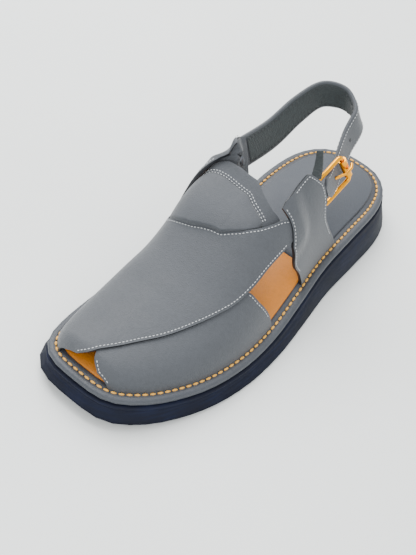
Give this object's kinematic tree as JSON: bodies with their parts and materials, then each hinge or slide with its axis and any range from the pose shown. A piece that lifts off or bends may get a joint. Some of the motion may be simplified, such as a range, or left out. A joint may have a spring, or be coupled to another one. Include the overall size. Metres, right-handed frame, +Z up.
{
  "type": "peshawari chappal",
  "caption": "Open leather sandal for the left foot with a moulded sole, crossed upper with side opening, padded tongue and buckled heel strap.",
  "frame": {"origin": "centre of the bounding box's bottom face, on the ground that the sole stands on", "axes": "+Z up, toe towards -Y, outer side of the foot towards +X"},
  "size_m": [0.1156, 0.3038, 0.1086],
  "materials": {
    "sole_rubber": "moulded, matt",
    "rim_leather": "smooth, waxed",
    "tan_leather": "smooth",
    "upper_leather": "fine nubuck",
    "lining_leather": "brushed",
    "gold_metal": "polished, lacquered",
    "dark_metal": "lacquered dark"
  },
  "bodies": {
    "root": {"outsole": "sole_rubber", "midsole": "rim_leather", "insole": "tan_leather", "heel_sock": "rim_leather", "upper": "upper_leather", "tongue": "upper_leather", "tongue_pad": "upper_leather", "heel_strap": "upper_leather", "buckle_tab": "lining_leather", "buckle_frame": "gold_metal", "buckle_roller": "gold_metal", "buckle_prong": "gold_metal", "rivet": "dark_metal"}
  },
  "joints": []
}
